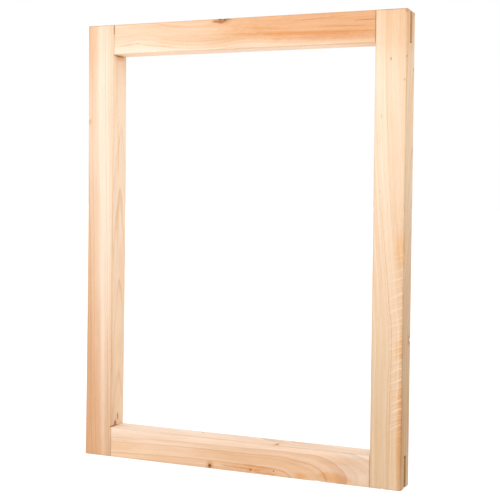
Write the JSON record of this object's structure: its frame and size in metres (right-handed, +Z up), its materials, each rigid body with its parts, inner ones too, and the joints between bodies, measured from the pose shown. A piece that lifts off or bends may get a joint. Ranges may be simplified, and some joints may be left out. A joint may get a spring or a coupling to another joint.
{
  "type": "screen printing frame",
  "caption": "Bare rectangular wooden screen printing frame: square-edged softwood bars with glued open bridle joints at the corners, ready for mesh.",
  "frame": {"origin": "middle of the base, on the plane the frame stands on and halfway through its thickness", "axes": "+Z up along the long side, X across the short side, -Y out of the front face"},
  "size_m": [0.46, 0.033, 0.6],
  "materials": {
    "left_stile_wood": "planed and sanded, unfinished",
    "right_stile_wood": "planed and sanded, unfinished",
    "top_rail_wood": "planed and sanded, unfinished",
    "bottom_rail_wood": "planed and sanded, unfinished",
    "wood_glue": "cured wood glue, satin"
  },
  "bodies": {
    "root": {"left_stile": "left_stile_wood", "right_stile": "right_stile_wood", "top_rail": "top_rail_wood", "bottom_rail": "bottom_rail_wood", "glue_line_top_left": "wood_glue", "glue_line_top_right": "wood_glue", "glue_line_bottom_left": "wood_glue", "glue_line_bottom_right": "wood_glue"}
  },
  "joints": []
}
